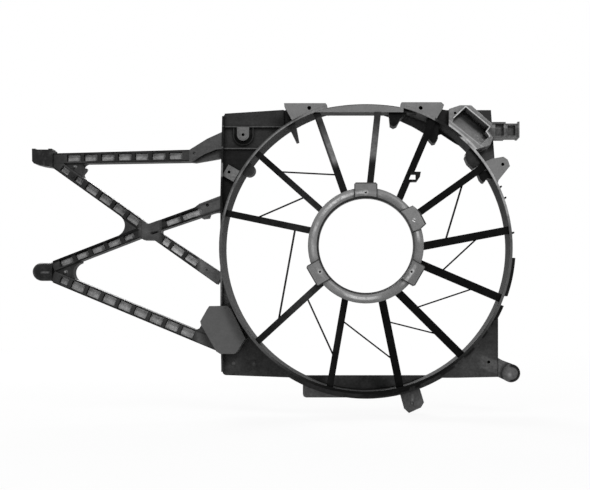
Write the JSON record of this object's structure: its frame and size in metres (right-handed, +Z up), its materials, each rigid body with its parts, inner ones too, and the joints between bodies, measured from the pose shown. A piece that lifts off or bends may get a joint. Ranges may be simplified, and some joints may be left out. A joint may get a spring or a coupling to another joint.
{
  "type": "radiator deflector",
  "caption": "Bare vehicle radiator fan shroud: shallow panel with a round fan duct, a motor ring on slim spokes, and a ladder truss reaching out to one side.",
  "frame": {"origin": "on the fan axis, in the plane of the rim that seals against the radiator", "axes": "+Z up as the shroud stands in the car, +Y towards the radiator along the fan axis, +X to the right seen from the engine side, away from the truss"},
  "size_m": [0.6457, 0.0905, 0.4043],
  "materials": {
    "plastic_dark": "matte",
    "plastic_mid": "satin",
    "plastic_truss": "satin",
    "plastic_front": "satin"
  },
  "bodies": {
    "root": {"panel_top_left": "plastic_dark", "panel_bottom_left": "plastic_mid", "panel_top_right": "plastic_dark", "panel_bottom_right": "plastic_mid", "top_closing_panel": "plastic_dark", "bottom_closing_panel": "plastic_mid", "fan_ring": "plastic_mid", "top_crescent": "plastic_front", "guard_lugs": "plastic_dark", "motor_ring": "plastic_front", "motor_lugs": "plastic_front", "connector_lug": "plastic_front", "spoke_01": "plastic_dark", "spoke_02": "plastic_dark", "spoke_03": "plastic_dark", "spoke_04": "plastic_dark", "spoke_05": "plastic_dark", "spoke_06": "plastic_dark", "spoke_07": "plastic_dark", "spoke_08": "plastic_dark", "spoke_09": "plastic_dark", "spoke_10": "plastic_dark", "spoke_11": "plastic_dark", "spoke_12": "plastic_dark", "brace_1": "plastic_dark", "brace_2": "plastic_dark", "brace_3": "plastic_dark", "brace_4": "plastic_dark", "brace_5": "plastic_dark", "brace_6": "plastic_dark", "brace_7": "plastic_dark", "brace_8": "plastic_dark", "brace_9": "plastic_dark", "top_beam": "plastic_truss", "top_beam_root": "plastic_truss", "upper_diagonal_outer": "plastic_truss", "upper_diagonal_inner": "plastic_truss", "lower_diagonal_outer": "plastic_truss", "lower_diagonal_inner": "plastic_truss", "lower_beam": "plastic_truss", "crossing_hub": "plastic_truss", "upper_gusset": "plastic_truss", "lower_gusset": "plastic_truss", "end_block": "plastic_truss", "locating_peg": "plastic_truss", "cover_pad": "plastic_mid", "top_tab_left": "plastic_front", "top_tab_right": "plastic_front", "link_block": "plastic_dark", "connector_bucket": "plastic_front", "side_clip_box": "plastic_mid", "right_ear": "plastic_front", "lower_right_arm": "plastic_mid", "bottom_tab": "plastic_mid", "bottom_flap": "plastic_mid", "harness_clips": "plastic_dark", "cable_loop": "plastic_dark"}
  },
  "joints": []
}
